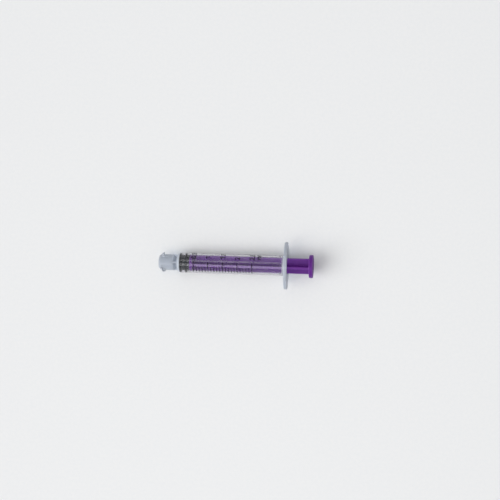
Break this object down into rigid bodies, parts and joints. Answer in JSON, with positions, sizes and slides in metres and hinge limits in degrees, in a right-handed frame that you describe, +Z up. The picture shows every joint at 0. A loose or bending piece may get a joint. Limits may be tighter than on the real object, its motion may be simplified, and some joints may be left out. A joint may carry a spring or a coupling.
{
  "type": "enteral syringe",
  "caption": "Small clear enteral syringe lying on its side: wide lugged connector, oval finger flange, purple plunger with round thumb rest, pushed home.",
  "frame": {"origin": "middle of the footprint, on the surface that the syringe lies on", "axes": "+X runs from the connector's mouth to the thumb rest, +Z is up, +Y is along the finger flange's long wings. The syringe lies on its shoulder and the flange's lower edge, so its own axis rises towards the thumb rest by 1.88 degrees"},
  "size_m": [0.083, 0.025, 0.0143],
  "materials": {
    "clear_plastic": "clear, faintly milky",
    "black_rubber": "matte",
    "purple_plastic": "semi-gloss"
  },
  "bodies": {
    "barrel": {"barrel": "clear_plastic"},
    "stopper": {"stopper": "black_rubber"},
    "plunger": {"plunger_rod": "purple_plastic"}
  },
  "joints": [
    {"name": "plunger_slide", "type": "slide", "parent": "barrel", "child": "stopper", "axis": [0.9995, 0, 0.0329], "range_m": [0, 0.046]},
    {"name": "plunger_twist", "type": "hinge", "parent": "stopper", "child": "plunger", "pos_m": [-0.02572, 0, 0.00543], "axis": [0.9995, 0, 0.0329], "continuous": true}
  ]
}
